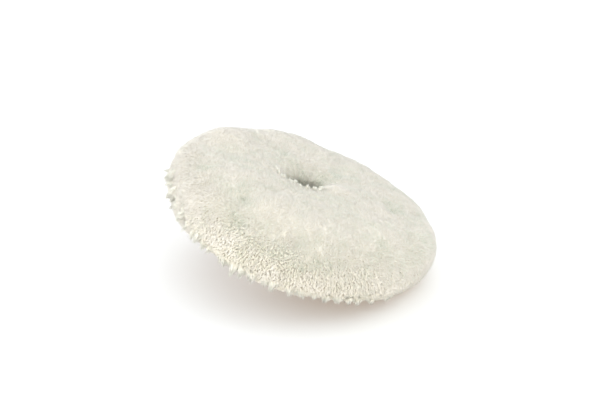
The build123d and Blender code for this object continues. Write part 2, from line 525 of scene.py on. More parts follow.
def piece_from(name: str, points: np.ndarray, faces: Sequence[Sequence[int]],
               material: Material) -> Object:
    """A smooth-shaded mesh object at the origin.

    Args:
        name: the piece's name.
        points: one row of x, y and z for each vertex.
        faces: vertex numbers round each face, seen from outside.
        material: the only material.

    Returns:
        The linked object.
    """
    mesh = bpy.data.meshes.new(name)
    mesh.from_pydata([tuple(point) for point in points], [], [tuple(face) for face in faces])
    mesh.polygons.foreach_set("use_smooth", [True] * len(mesh.polygons))
    mesh.materials.append(material)
    return linked(name, mesh)


def round_wall(mount: str) -> float:
    """The radius of a round mount, from the record."""
    mounts = {entry["name"]: entry for entry in frame["record"]["mounts"]}
    return mounts[mount]["dims"]["r_mm"] * MM


def linked(name: str, data: bpy.types.ID) -> Object:
    """A new object in the scene that shows some data.

    Args:
        name: the object's name.
        data: a mesh, lamp or camera.

    Returns:
        The object.
    """
    made = bpy.data.objects.new(name, data)
    bpy.context.scene.collection.objects.link(made)
    return made


def settle(piece: Object, body: Body, slot: Slot, *nodes: str) -> None:
    """Say what a piece rides with and stands in for, and report it.

    Args:
        piece: the visible piece.
        body: the rigid body that carries it.
        slot: its material slot in the record; not used.
        nodes: the frame's nodes that it replaces.
    """
    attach(piece, body.value)
    if nodes:
        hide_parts(*nodes)
    stood_for = ", ".join(nodes) or "nothing"
    LOG.info("%s: %d faces, in place of %s", piece.name, len(piece.data.polygons), stood_for)


def steer(mesh: Mesh, values: Mapping[str, np.ndarray], lay: np.ndarray) -> None:
    """Write the attributes that a planting tree reads, with every face in the first sector.

    Args:
        mesh: the bed's mesh.
        values: a number for each vertex, by attribute.
        lay: the way the strands lean at each vertex.
    """
    for name, value in values.items():
        mesh.attributes.new(name, "FLOAT", "POINT").data.foreach_set("value", value.astype(np.float32))
    leaning = mesh.attributes.new("lay", "FLOAT_VECTOR", "POINT").data
    leaning.foreach_set("vector", lay.astype(np.float32).ravel())
    mesh.attributes.new("nap_sector", "INT", "FACE")


def grown(name: str, tree: NodeTree, carrier: Object, values: Mapping[str, object]) -> Object:
    """Run a geometry tree on an object and keep what it makes as a plain mesh object.

    Args:
        name: the new object's name.
        tree: the geometry tree.
        carrier: the object that it runs on, which stays as it was.
        values: the tree's inputs by name.

    Returns:
        The new object.
    """
    modifier = carrier.modifiers.new("growth", "NODES")
    modifier.node_group = tree
    for item in tree.interface.items_tree:
        if item.name in values and item.in_out == "INPUT":
            modifier[item.identifier] = values[item.name]
    evaluated = carrier.evaluated_get(bpy.context.evaluated_depsgraph_get())
    mesh = bpy.data.meshes.new_from_object(evaluated)
    carrier.modifiers.remove(modifier)
    mesh.name = name
    return linked(name, mesh)


def lathe(section: Callable[[float], np.ndarray], around: int,
          ) -> tuple[np.ndarray, list[tuple[int, int, int, int]]]:
    """Carry a closed section round the spindle axis.

    Args:
        section: gives rows of radius and height for an azimuth in radians, always the same number of rows,
            counterclockwise seen with radius to the right.
        around: how many sections go round.

    Returns:
        The points, one section after another, and the faces.
    """
    points, count = [], len(section(0.0))
    for turn in range(around):
        azimuth = TURN * turn / around
        points += [(r * math.cos(azimuth), r * math.sin(azimuth), z) for r, z in section(azimuth)]
    points, faces = np.array(points), []
    for turn in range(around):
        near, far = turn * count, (turn + 1) % around * count
        for step in range(count):
            after = (step + 1) % count
            faces.append((near + step, far + step, far + after, near + after))
    return points, faces


def evenly(points: Sequence[Pair], count: int) -> np.ndarray:
    """Walk along a closed outline and put down points at even steps.

    Args:
        points: the outline's corners.
        count: how many points to put down.

    Returns:
        Rows of radius and height.
    """
    corners = np.array(list(points) + [points[0]], float)
    runs = np.hypot(*np.diff(corners, axis=0).T)
    along = np.concatenate([[0.0], np.cumsum(runs)])
    places = np.arange(count) * along[-1] / count
    return np.stack([np.interp(places, along, corners[:, axis]) for axis in (0, 1)], axis=-1)


def arc(centre: Pair, radii: Pair, start: float, end: float, steps: int = 16) -> list[Pair]:
    """Points on an elliptical arc, with the angles in degrees."""
    angles = [math.radians(start + (end - start) * step / steps) for step in range(steps + 1)]
    return [(centre[0] + radii[0] * math.cos(a), centre[1] + radii[1] * math.sin(a)) for a in angles]


def ripple(point: np.ndarray, size: float, seed: float = 0.0) -> float:
    """Smooth noise between about -1 and 1, with hills about a size across."""
    return noise.noise(Vector(point / size) + Vector((seed, 1.7 * seed, -0.6 * seed)))


def ripples(points: np.ndarray, *layers: Triple) -> np.ndarray:
    """Noise added up at each point, from layers that each have a height, a hill size and a seed."""
    return np.array([sum(height * ripple(point, size, seed) for height, size, seed in layers)
                     for point in points])


def lobe(azimuth: float, middle: float, width: float) -> float:
    """A smooth bump round the rim, 1 at its middle azimuth and 0 a width away, in degrees."""
    away = abs((azimuth - middle + 180) % 360 - 180) / width
    return 0.5 + 0.5 * math.cos(math.pi * away) if away < 1 else 0.0


def lobes(azimuths: np.ndarray, middle: float, width: float) -> np.ndarray:
    """The same bump at each of many azimuths."""
    return np.array([lobe(azimuth, middle, width) for azimuth in azimuths])


def ramp(value: np.ndarray | float, low: float, high: float) -> np.ndarray:
    """0 below a low value, 1 above a high one, and smooth between."""
    share = np.clip((np.asarray(value) - low) / (high - low), 0, 1)
    return share * share * (3 - 2 * share)


# ---- tufts by geometry nodes


@dataclass(frozen=True)
class Joint:
    """One place along a strand: its middle, its radius, the way it runs, and its height on the map."""

    middle: Triple
    radius: float
    way: Pair
    height: float


@dataclass(frozen=True)
class Shape:
    """A strand of some kind, about a unit tall, before it is set on its bed."""

    sides: int = 3
    flute: float = 0.0
    twist: float = 0.0

    def joints(self) -> list[Joint]:
        """The places along the strand, from the root to the last before the tip."""
        raise NotImplementedError

    def tip(self) -> Triple:
        """The point that closes the strand."""
        return self.joints()[-1].middle

    def build(self, name: str) -> Object:
        """The strand as an unlinked object, with its height in its map.

        Args:
            name: the object's name.

        Returns:
            The object.
        """
        points, heights, joints = [], [], self.joints()
        for joint in joints:
            for side in range(self.sides):
                angle = TURN * (side / self.sides + self.twist * joint.height)
                radius = joint.radius * (1 - self.flute * (side % 2))
                along, rise = joint.way
                out = radius * math.cos(angle)
                points.append((joint.middle[0] + out * rise, joint.middle[1] + radius * math.sin(angle),
                               joint.middle[2] - out * along))
                heights.append(joint.height)
        points += [self.tip(), joints[0].middle]
        heights += [1.0, 0.0]
        tip, root, faces = len(points) - 2, len(points) - 1, []
        for ring in range(len(joints)):
            for side in range(self.sides):
                here = ring * self.sides + side
                beside = ring * self.sides + (side + 1) % self.sides
                if ring + 1 < len(joints):
                    faces.append((here, beside, beside + self.sides, here + self.sides))
                else:
                    faces.append((here, beside, tip))
        faces += [((side + 1) % self.sides, side, root) for side in range(self.sides)]
        mesh = bpy.data.meshes.new(name)
        mesh.from_pydata(points, [], faces)
        mesh.polygons.foreach_set("use_smooth", [True] * len(mesh.polygons))
        strand_map = mesh.uv_layers.new(name=STRAND_MAP)
        for face in mesh.polygons:
            for corner in face.loop_indices:
                vertex = mesh.loops[corner].vertex_index
                across = (vertex % self.sides) / self.sides if vertex < tip else 0.5
                strand_map.data[corner].uv = (across, heights[vertex])
        return bpy.data.objects.new(name, mesh)


@dataclass(frozen=True)
class Strand(Shape):
    """A tapered or blunt strand of wool with a slight curl."""

    rings: int = 2
    curl: float = 1.6
    waves: float = 0.8
    blunt: float = 0.0
    phase: float = 0.0

    def _middle(self, rise: float) -> Triple:
        """The strand's middle at a height from 0 to 1."""
        swing = TURN * (self.waves * rise + self.phase)
        return (self.curl * rise * math.sin(swing), self.curl * rise * (math.cos(swing * 0.8) - 1), rise)

    def _radius(self, rise: float) -> float:
        """The strand's radius at a height from 0 to 1."""
        rounded = math.sin(math.pi * min(1.0, 0.18 + 0.74 * rise)) ** 0.6
        return (1 - rise) ** 0.55 * (1 - self.blunt) + rounded * self.blunt

    def joints(self) -> list[Joint]:
        """The places along the strand."""
        rises = [ring / self.rings for ring in range(self.rings)]
        return [Joint(self._middle(rise), self._radius(rise), (0.0, 1.0), rise) for rise in rises]

    def tip(self) -> Triple:
        """The point that closes the strand."""
        return self._middle(1.0)


@dataclass(frozen=True)
class Arch(Shape):
    """A strand that bends over: a whole loop, or a hook that stops part way down."""

    stem: float = 0.35
    reach: float = 1.0
    sweep: float = 180.0
    steps: int = 5
    thickness: float = 0.24

    def joints(self) -> list[Joint]:
        """Set out the places up the stem and round the bend.

        Returns:
            The places, from the root.
        """
        top = 1 - self.stem - self.thickness
        made = [Joint((-self.reach, 0.0, 0.0), self.thickness * 1.2, (0.0, 1.0), 0.0)]
        for step in range(self.steps):
            angle = math.radians(self.sweep * step / (self.steps - 1))
            middle = (-self.reach * math.cos(angle), 0.0, self.stem + top * math.sin(angle))
            way = (math.sin(angle), math.cos(angle))
            made.append(Joint(middle, self.thickness, way, (step + 1) / self.steps))
        if self.sweep == 180.0:
            made.append(Joint((self.reach, 0.0, 0.0), self.thickness * 1.2, (0.0, -1.0), 1.0))
        return made


def strand_box(name: str, shapes: Sequence[Shape]) -> Collection:
    """Build strand shapes for a tree to pick from.

    Args:
        name: the collection's name.
        shapes: the strands.

    Returns:
        The collection.
    """
    box = bpy.data.collections.new(name)
    for number, shape in enumerate(shapes):
        box.objects.link(shape.build(f"{name}_{number}"))
    return box


@dataclass(frozen=True)
class Growth:
    """The numbers that a planting tree takes as its inputs, and the names of two of the bed's attributes."""

    spacing: float
    width: float
    stray: float
    seed: int
    cover: str = "cover"
    sectors: str = "nap_sector"
    crowding: float = 1.0e7
    unevenness: float = 0.2
    roundness: float = 0.35


class PlantingTree:
    """Geometry Nodes that plant strands on a bed.

    The bed's own attributes steer it: "lay" leans the strands, "reach" is their length, "tone" is their
    colour, and two more, named in the inputs, thin them out and say which piece they belong to.
    """

    INPUTS = {"Spacing": "Float", "Crowding": "Float", "Width": "Float", "Unevenness": "Float",
              "Stray": "Float", "Roundness": "Float", "Cover": "String", "Sectors": "String",
              "Sector": "Int", "Seed": "Int"}
    STEERING = ("lay", "reach", "tone", "cover", "curly", "nap_sector", "lock_sector", "strand_tone")

    def __init__(self, name: str, shapes: Collection, material: Material) -> None:
        """Build the tree.

        Args:
            name: the tree's name.
            shapes: the strands to pick from.
            material: what the strands wear.
        """
        self.tree, wiring, given = geometry_tree(name, self.INPUTS)
        self._wire(wiring, given, shapes, material)

    def _wire(self, wiring: Wiring, given: Sockets, shapes: Collection, material: Material) -> None:
        """Join up the nodes.

        Args:
            wiring: the tree's wiring.
            given: the tree's inputs.
            shapes: the strands to pick from.
            material: what the strands wear.
        """
        out, maths, vector = wiring.out, wiring.maths, wiring.vector

        def attribute(name: object, kind: str) -> NodeSocket:
            """One of the bed's attributes."""
            return out("GeometryNodeInputNamedAttribute", {"Name": name}, data_type=kind)

        def random(kind: str, low: object, high: object, offset: int, suffix: str = "_001") -> NodeSocket:
            """A random value of its own for each strand, kept apart from other draws by its offset."""
            seed = maths("MULTIPLY_ADD", given["Seed"], 7.0, float(offset))
            return out("FunctionNodeRandomValue", {"Min" + suffix: low, "Max" + suffix: high, "Seed": seed},
                       data_type=kind)

        cover = attribute(given["Cover"], "FLOAT")
        sector = attribute(given["Sectors"], "INT")
        mine = out("FunctionNodeCompare", {"A_INT": sector, "B_INT": given["Sector"]}, data_type="INT",
                   operation="EQUAL")
        chosen = maths("MULTIPLY", mine, maths("GREATER_THAN", cover, 0.0))
        patch = out("GeometryNodeSeparateGeometry", {"Geometry": given["Geometry"], "Selection": chosen},
                    domain="FACE")
        planted = wiring.add("GeometryNodeDistributePointsOnFaces",
                             {"Mesh": patch, "Seed": given["Seed"], "Distance Min": given["Spacing"],
                              "Density Max": given["Crowding"], "Density Factor": cover},
                             distribute_method="POISSON")
        normal = planted.outputs["Normal"]
        wild = vector("SCALE", random("FLOAT_VECTOR", (-1, -1, -1), (1, 1, 1), 0, ""), given["Stray"])
        leaning = vector("ADD", vector("ADD", normal, attribute("lay", "FLOAT_VECTOR")), wild)
        upright = out("FunctionNodeAlignRotationToVector", {"Vector": leaning}, axis="Z")
        spin = out("FunctionNodeAxisAngleToRotation",
                   {"Axis": (0, 0, 1), "Angle": random("FLOAT", 0.0, TURN, 1)})
        turned = out("FunctionNodeRotateRotation", {"Rotation": upright, "Rotate By": spin},
                     rotation_space="LOCAL")
        shortest = maths("SUBTRACT", 1.0, given["Unevenness"])
        bulk = wiring.spread(cover, 0, 0.7, 0.6, 1)
        breadth = maths("MULTIPLY", random("FLOAT", 0.75, 1.3, 2), maths("MULTIPLY", bulk, given["Width"]))
        height = maths("MULTIPLY", random("FLOAT", shortest, 1.0, 3), bulk)
        height = maths("MULTIPLY", height, attribute("reach", "FLOAT"))
        chest = out("GeometryNodeCollectionInfo",
                    {"Collection": shapes, "Separate Children": True, "Reset Children": True})
        strands = out("GeometryNodeInstanceOnPoints",
                      {"Points": planted.outputs["Points"], "Instance": chest, "Pick Instance": True,
                       "Instance Index": random("INT", 0, len(shapes.objects) - 1, 4, "_002"),
                       "Rotation": turned,
                       "Scale": out("ShaderNodeCombineXYZ", {0: breadth, 1: breadth, 2: height})})
        tone = maths("ADD", attribute("tone", "FLOAT"), random("FLOAT", -0.2, 0.2, 5))
        marked = out("GeometryNodeStoreNamedAttribute",
                     {"Geometry": strands, "Name": "strand_tone", "Value": tone}, data_type="FLOAT",
                     domain="INSTANCE")
        whole = out("GeometryNodeRealizeInstances", {0: marked})
        rounded = vector("SCALE", out("GeometryNodeInputNormal"), given["Roundness"])
        soft = vector("NORMALIZE", vector("ADD", rounded, normal))
        shaded = wiring.add("GeometryNodeSetMeshNormal", {"Mesh": whole}, mode="FREE", domain="POINT")
        wiring.feed(wiring.socket(shaded.inputs, "Custom Normal"), soft)
        worn = out("GeometryNodeSetMaterial", {"Geometry": shaded.outputs[0], "Material": material})
        wiring.add("NodeGroupOutput", {0: worn})

    def grow(self, name: str, bed: Object, growth: Growth, sector: int) -> Object:
        """Plant one sector of a bed.

        Args:
            name: the new piece's name.
            bed: the object that carries the attributes.
            growth: how thick and how wild the strands stand.
            sector: the sector to plant.

        Returns:
            The strands as one plain mesh object.
        """
        values = {label: getattr(growth, label.lower(), None) for label in self.INPUTS}
        values |= {"Sector": sector, "Seed": growth.seed + sector}
        made = grown(name, self.tree, bed, values)
        self._finish_map(made.data)
        return made

    def _finish_map(self, mesh: Mesh) -> None:
        """Write each strand's tone across its map, and drop the attributes that steered the planting.

        Args:
            mesh: the strands.
        """
        vertex = np.empty(len(mesh.loops), np.int32)
        mesh.loops.foreach_get("vertex_index", vertex)
        tone = np.empty(len(mesh.vertices), np.float32)
        mesh.attributes["strand_tone"].data.foreach_get("value", tone)
        strand_map = mesh.uv_layers[STRAND_MAP]
        places = np.empty(len(mesh.loops) * 2, np.float32)
        strand_map.uv.foreach_get("vector", places)
        places = places.reshape(-1, 2)
        places[:, 0] = 0.04 * places[:, 0] + 0.94 * np.clip(tone[vertex], 0, 1)
        places[:, 1] = 0.01 + 0.98 * places[:, 1]
        strand_map.uv.foreach_set("vector", places.ravel())
        for name in [attribute.name for attribute in mesh.attributes if attribute.name in self.STEERING]:
            mesh.attributes.remove(mesh.attributes[name])


# ---- the wool


@dataclass(frozen=True)
class Swell:
    """A rise or a hollow in the wool, centred on a point, in degrees and millimetres."""

    azimuth: float
    radius: float
    level: float
    size: float
    height: float

    def at(self, points: np.ndarray) -> np.ndarray:
        """Work out how much it lifts the wool.

        Args:
            points: rows of x, y and z.

        Returns:
            The lift at each point.
        """
        turn = math.radians(self.azimuth)
        radius = self.radius * MM
        middle = np.array([math.cos(turn) * radius, math.sin(turn) * radius, self.level * MM])
        away = np.linalg.norm(points - middle, axis=1) / (self.size * MM)
        return self.height * MM * np.exp(-away * away)


@dataclass(frozen=True)
class Tuft:
    """A clump of wool that stands out of the rim and runs to a point.

    It is seated at an azimuth, radius and level, in degrees and millimetres, and points outward, down and
    round the rim by its shares.
    """

    azimuth: float
    radius: float
    level: float
    length: float
    width: float
    fall: float = 0.5
    swing: float = 0.3

    def seat(self) -> tuple[np.ndarray, np.ndarray]:
        """Place the clump.

        Returns:
            Where its roots are, and the way it points.
        """
        turn = math.radians(self.azimuth)
        out = np.array([math.cos(turn), math.sin(turn), 0.0])
        way = out + self.swing * np.array([-out[1], out[0], 0.0]) - self.fall * np.array([0.0, 0.0, 1.0])
        middle = out * (self.radius * MM) + np.array([0.0, 0.0, self.level * MM])
        return middle, way / np.linalg.norm(way)


def build_tuft_seats(tufts: Sequence[Tuft], slump: Callable[[np.ndarray], np.ndarray]) -> Object:
    """Small balls inside the rim, from which the tufts are planted.

    Args:
        tufts: the clumps.
        slump: how far the wool has sagged at a row of points.

    Returns:
        The balls as one object with the planting attributes.
    """
    points, lay, reach, cover, faces = [], [], [], [], []
    rings, around = 7, 12
    for tuft in tufts:
        middle, way = tuft.seat()
        middle = middle + slump(middle[None, :])[0]
        start = len(points)
        for ring in range(rings):
            for turn in range(around):
                polar, angle = math.pi * (ring + 0.5) / rings, TURN * turn / around
                out = np.array([math.sin(polar) * math.cos(angle), math.sin(polar) * math.sin(angle),
                                math.cos(polar)])
                # strands draw together to a point, so those at the clump's side lean in and are shorter
                aside = out - way * out.dot(way)
                points.append(middle + out * (tuft.width * MM))
                lay.append(way * 3.2 - aside * 1.6)
                reach.append(tuft.length * MM * (1.05 - 0.75 * np.linalg.norm(aside)))
                cover.append(1.0 if out.dot(way) > 0.15 else 0.0)
        for ring in range(rings - 1):
            for turn in range(around):
                here, beside = start + ring * around + turn, start + ring * around + (turn + 1) % around
                faces.append((here, here + around, beside + around, beside))
    seats = piece_from("tuft_seats", np.array(points), faces, WOOL_BED.material())
    values = {"reach": np.array(reach), "cover": np.array(cover), "tone": np.full(len(points), 0.55)}
    steer(seats.data, values, np.array(lay))
    return seats


@dataclass
class WoolPile:
    """The cut pile: a bed of close wool and the strands that stand on it."""

    hole_radius: float
    canvas_top: float
    crown: float
    skirt_radius: float
    outer_radius: float
    lowest: float
    nap: float = 2.0 * MM
    shoulder: float = 32 * MM
    fullness: float = 0.8
    section_points: int = 132
    around: int = 420
    nap_sectors: int = 8
    lock_sectors: int = 3
    lip_count: int = 13
    edge_count: int = 44
    hills: tuple[Triple, ...] = ((1.2 * MM, 24 * MM, 3.1), (0.75 * MM, 11 * MM, 8.7),
                                 (0.55 * MM, 4.6 * MM, 5.3), (0.42 * MM, 2.4 * MM, 1.3))
    swells: tuple[Swell, ...] = (
        Swell(150, 58, 54, 17, 4.4),
        Swell(108, 62, 54, 26, 2.2),
        Swell(178, 44, 56, 8, -2.0),
        Swell(162, 34, 56, 6, -1.0),
        Swell(138, 42, 56, 8, -1.6),
        Swell(-146, 48, 55, 9, 1.4),
        Swell(-128, 62, 52, 7, -2.2),
        Swell(-121, 71, 43, 6, -2.6),
        Swell(-108, 74, 38, 7, -1.8),
        Swell(-98, 71, 46, 7, -2.0),
        Swell(-112, 56, 54, 11, 1.9),
        Swell(-136, 70, 44, 8, 1.6),
        Swell(-84, 62, 52, 11, 1.6),
        Swell(-62, 70, 44, 8, -1.4),
        Swell(-26, 20, 56, 9, 1.7),
        Swell(48, 30, 56, 8, -1.3),
        Swell(-8, 42, 56, 8, -1.0),
        Swell(-45, 50, 56, 14, 1.0),
    )
    tufts: tuple[Tuft, ...] = (
        Tuft(-172, 71.0, 38, 9.0, 3.2, 0.35, 0.6),
        Tuft(-163, 71.0, 34, 9.0, 3.0, 0.5, 0.5),
        Tuft(-150, 70.5, 30, 8.0, 3.0, 0.6, 0.4),
        Tuft(-138, 69.0, 26, 6.5, 2.8, 0.9, 0.3),
        Tuft(-117, 68.5, 23, 9.0, 2.4, 2.0, 0.1),
        Tuft(-114, 68.5, 23, 8.0, 2.0, 2.2, 0.6),
        Tuft(-103, 67.5, 23, 5.5, 2.8, 1.8, 0.3),
        Tuft(-88, 67.5, 23, 3.6, 3.2, 1.6, -0.4),
        Tuft(-70, 67.0, 23, 3.4, 3.4, 1.6, -0.4),
        Tuft(-42, 67.5, 23, 3.4, 3.2, 1.4, -0.4),
    )

    def section(self, azimuth: float) -> np.ndarray:
        """The bed's section at an azimuth, drawn in from the pile's own by the nap's height.

        Args:
            azimuth: the angle round the spindle axis in radians.

        Returns:
            Rows of radius and height.
        """
        degrees = math.degrees(azimuth)
        # the funnel is widest on the far side, the rim is drawn in at the left and let out at the right, and
        # the wool droops in front
        soft = lobe(degrees, 60, 150)
        drawn = 2.2 * MM * lobe(degrees, 140, 40) + 1.3 * MM * lobe(degrees, -142, 62) + 0.3 * MM
        drawn -= 2.8 * MM * lobe(degrees, -10, 50)
        bare = self.nap + 0.6 * MM
        top, widest = self.crown - self.nap, self.lowest + 18 * MM
        outer = self.outer_radius - bare - drawn
        low = self.lowest + bare - 1.8 * MM - 1.7 * MM * lobe(degrees, -96, 76)
        low += 0.8 * MM * ripple(np.array([math.cos(azimuth), math.sin(azimuth), 0.0]) * outer, 5.5 * MM, 2.2)
        hole = self.hole_radius + 0.5 * MM
        funnel = (1.5 + 9.0 * soft) * MM
        points = [(hole, self.canvas_top), (self.skirt_radius, self.canvas_top), (self.skirt_radius, low)]
        points += arc((self.skirt_radius, widest), (outer - self.skirt_radius, widest - low), -90, 0)
        points += [(self.shoulder + (outer - self.shoulder) * math.cos(a) ** self.fullness,
                    widest + (top - widest) * math.sin(a) ** self.fullness)
                   for a in np.linspace(0.02, math.pi / 2, 24)]
        points += arc((hole + funnel, top - funnel), (funnel, funnel), 90, 180)
        return evenly(points, self.section_points)

    def lift(self, points: np.ndarray) -> np.ndarray:
        """How far the bed's surface stands in or out at each point."""
        return ripples(points, *self.hills) + sum(swell.at(points) for swell in self.swells)

    def slump(self, points: np.ndarray) -> np.ndarray:
        """Sag the wool round the top of the hole to one side.

        Args:
            points: rows of x, y and z.

        Returns:
            How far each point moves.
        """
        share = ramp(points[:, 2], self.canvas_top + 6 * MM, self.crown - 4 * MM)
        share *= 1 - ramp(np.hypot(points[:, 0], points[:, 1]), 18 * MM, 34 * MM)
        return share[:, None] * np.array([-5.2 * MM, -3.6 * MM, 0.0])

    def lip_tufts(self) -> tuple[Tuft, ...]:
        """Set out a ragged row of small tufts that stands up round the near side of the hole.

        Returns:
            The tufts.
        """
        made = []
        for number in range(self.lip_count):
            azimuth = -178 + 142 * number / (self.lip_count - 1) + 5 * math.sin(5.1 * number)
            tall = 0.55 + 0.45 * math.sin(2.3 * number + 0.7)
            radius = self.hole_radius / MM + 2.6 + 0.6 * math.cos(3.7 * number)
            made.append(Tuft(azimuth, radius, self.crown / MM - 2.0, 1.6 + 2.2 * tall, 0.8 + 0.4 * tall,
                             -1.6, 0.6 * math.sin(1.9 * number)))
        return tuple(made)

    def edge_tufts(self) -> tuple[Tuft, ...]:
        """Set out a ragged row of small tufts along the lower edge, which climbs the rim towards the left.

        Returns:
            The tufts.
        """
        made = []
        for number in range(self.edge_count):
            azimuth = -181 + 158 * number / (self.edge_count - 1) + 1.6 * math.sin(4.3 * number)
            climb = lobe(azimuth, -182, 62)
            tall = 0.5 + 0.5 * math.sin(2.9 * number + 0.4)
            short = 1 - 0.6 * lobe(azimuth, -35, 75)
            length = (3.0 + 2.8 * tall) * (short + 0.55 * climb)
            made.append(Tuft(azimuth, 68.6 + 3.0 * climb, 22.2 + 14 * climb, length, 1.5 + 0.9 * tall,
                             1.9 - 1.4 * climb, 0.25 + 0.5 * math.sin(1.7 * number)))
        return tuple(made)

    def build_bed(self) -> Object:
        """The bed as a mesh, with the attributes that steer the planting.

        Returns:
            The bed.
        """
        points, faces = lathe(self.section, self.around)
        bed = piece_from("wool_bed", points, faces, WOOL_BED.material())
        map_rings(bed, self.around, self.section_points)
        mesh = bed.data
        normals = np.empty(len(points) * 3, np.float32)
        mesh.vertices.foreach_get("normal", normals)
        radius = np.hypot(points[:, 0], points[:, 1])
        shown = (points[:, 2] > self.canvas_top + 1 * MM) | (radius > self.skirt_radius + 0.5 * MM)
        points += normals.reshape(-1, 3) * (self.lift(points) * shown)[:, None]
        points += self.slump(points)
        mesh.vertices.foreach_set("co", points.ravel())
        mesh.update()
        self._steer(mesh, points, shown)
        return bed

    def _steer(self, mesh: Mesh, points: np.ndarray, shown: np.ndarray) -> None:
        """Write the attributes that the planting tree reads.

        Args:
            mesh: the bed's mesh.
            points: its vertices.
            shown: which of them are on a surface that grows wool.
        """
        radius = np.hypot(points[:, 0], points[:, 1])
        outward = np.stack([points[:, 0] / radius, points[:, 1] / radius, np.zeros(len(points))], axis=-1)
        around = np.stack([-outward[:, 1], outward[:, 0], np.zeros(len(points))], axis=-1)
        azimuth = np.degrees(np.arctan2(points[:, 1], points[:, 0]))
        # shares from 0 to 1: the rim, its underside, the combed left, the curly front and the hole's wall
        rim = ramp(radius, self.skirt_radius - 4 * MM, self.outer_radius - 6 * MM)
        under = 1 - ramp(points[:, 2], self.lowest + 6 * MM, self.lowest + 35 * MM)
        combed = lobes(azimuth, 190, 55) * rim
        front = 0.35 + 0.65 * lobes(azimuth, -100, 95)
        inner = 1 - ramp(radius, self.hole_radius + 1 * MM, self.hole_radius + 8 * MM)
        swirl, stray = ripples(points, (1, 13 * MM, 12.5)), ripples(points, (1, 13 * MM, 21.5))
        # strands lean in swirls, outward and down at the rim, and into the hole
        lay = outward * (0.25 * swirl + 0.2 * rim - 0.9 * inner)[:, None]
        lay += around * (0.2 * stray + 0.5 * combed)[:, None]
        lay[:, 2] += -0.2 * rim - 0.6 * inner - 0.4 * combed - 0.5 * rim * under
        curly = under * front * (1 - 0.6 * combed)
        # the near lip of the hole stands up in ragged teeth
        lip = lobes(azimuth, -110, 95) * ramp(points[:, 2], self.crown - 7 * MM, self.crown - 5 * MM)
        lip *= 1 - ramp(radius, self.hole_radius + 3.0 * MM, self.hole_radius + 6.0 * MM)
        lay += lip[:, None] * (0.7 * inner[:, None] * outward + np.array([0.0, 0.0, 0.6]))
        teeth = ripples(points, (1, 2.4 * MM, 6.6))
        swell_light_shade = sum(swell.at(points) for swell in self.swells)
        mottle = ripples(points, (0.30, 17 * MM, 30.5), (0.28, 6 * MM, 17.2), (0.16, 2.6 * MM, 9.9))
        values = {
            "reach": (1.8 + 0.8 * rim + 0.6 * combed + lip * np.maximum(0.2 + 2.4 * teeth, 0)) * MM,
            # tone: random mottle, lighter on the swells' rises and darker in their hollows as painted light
            # and shade, lighter and warmer on the combed left as painted light, and darker down the hole's
            # wall as painted shade
            "tone": np.maximum(0.64 + mottle + 85 * swell_light_shade + 0.25 * combed, 0.33)
            - 0.45 * inner * ramp(self.crown - points[:, 2], 2 * MM, 12 * MM),
            "cover": shown * (1 - 0.5 * ramp(curly, 0.45, 0.9)),
            "curly": shown * np.maximum(ramp(curly + 0.16 * swirl, 0.02, 0.7), 0.8 * lip),
        }
        steer(mesh, values, lay)
        mesh.attributes.new("lock_sector", "INT", "FACE")
        centres = np.array([face.center[:2] for face in mesh.polygons])
        bearing = np.arctan2(centres[:, 1], centres[:, 0]) / TURN % 1.0
        for name, count in (("nap_sector", self.nap_sectors), ("lock_sector", self.lock_sectors)):
            mesh.attributes[name].data.foreach_set("value", np.floor(bearing * count).astype(np.int32))


@dataclass
class WoolPad:
    """All the wool: the bed, the nap and the locks that stand on it, and the tufts that stand out of it."""

    nap: Growth = Growth(0.50 * MM, 0.27 * MM, 0.2, 11, unevenness=0.16, roundness=0.75)
    locks: Growth = Growth(0.79 * MM, 0.51 * MM, 0.75, 41, "curly", "lock_sector", unevenness=0.4,
                           roundness=2.2)
    clumps: Growth = Growth(0.40 * MM, 0.46 * MM, 0.16, 77, unevenness=0.25, roundness=1.0)
    kinds: int = 4
    fill: float = 0.7

    def build(self) -> None:
        """Make the bed and everything that grows on it."""
        face_low, face_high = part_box("wool_face")
        rim_low, rim_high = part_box("wool_rim")
        pile = WoolPile(hole_radius=round_wall("centre_hole"), canvas_top=face_low.z, crown=face_high.z,
                        skirt_radius=face_high.x, outer_radius=rim_high.x, lowest=rim_low.z)
        bed = pile.build_bed()
        nap_tree, lock_tree = self._nap_tree(), self._lock_tree()
        for name, tree, growth, sectors in (("wool_nap", nap_tree, self.nap, pile.nap_sectors),
                                            ("wool_locks", lock_tree, self.locks, pile.lock_sectors)):
            for sector in range(sectors):
                self._keep(tree.grow(f"{name}_{sector + 1}", bed, growth, sector))
        seats = build_tuft_seats(pile.tufts + pile.lip_tufts() + pile.edge_tufts(), pile.slump)
        self._keep(nap_tree.grow("wool_tufts", seats, self.clumps, 0))
        bpy.data.objects.remove(seats)
        self._keep(bed, "wool_face", "wool_rim")

    def _keep(self, piece: Object, *nodes: str) -> None:
        """Settle one piece of the wool on the pad."""
        settle(piece, Body.PAD, Slot.WOOL, *nodes)

    def _nap_tree(self) -> PlantingTree:
        """What plants the short nap: thin pointed strands with a little curl."""
        shapes = [Strand(curl=0.8 + 0.4 * k, waves=0.4 + 0.2 * k, phase=0.23 * k) for k in range(self.kinds)]
        return PlantingTree("nap planting", strand_box("nap_strand", shapes), WOOL_FIBRE.material())

    def _lock_tree(self) -> PlantingTree:
        """Build what plants the locks: thick blunt strands, fluted and twisted.

        Returns:
            The tree.
        """
        shapes = [Strand(sides=6, rings=4, curl=0.20 + 0.08 * k, waves=0.7, flute=0.30, blunt=1.0,
                         twist=0.25 + 0.1 * k, phase=0.3 * k) for k in range(self.kinds)]
        return PlantingTree("lock planting", strand_box("lock", shapes), WOOL_LOCK.material())


# ---- the layers under the wool


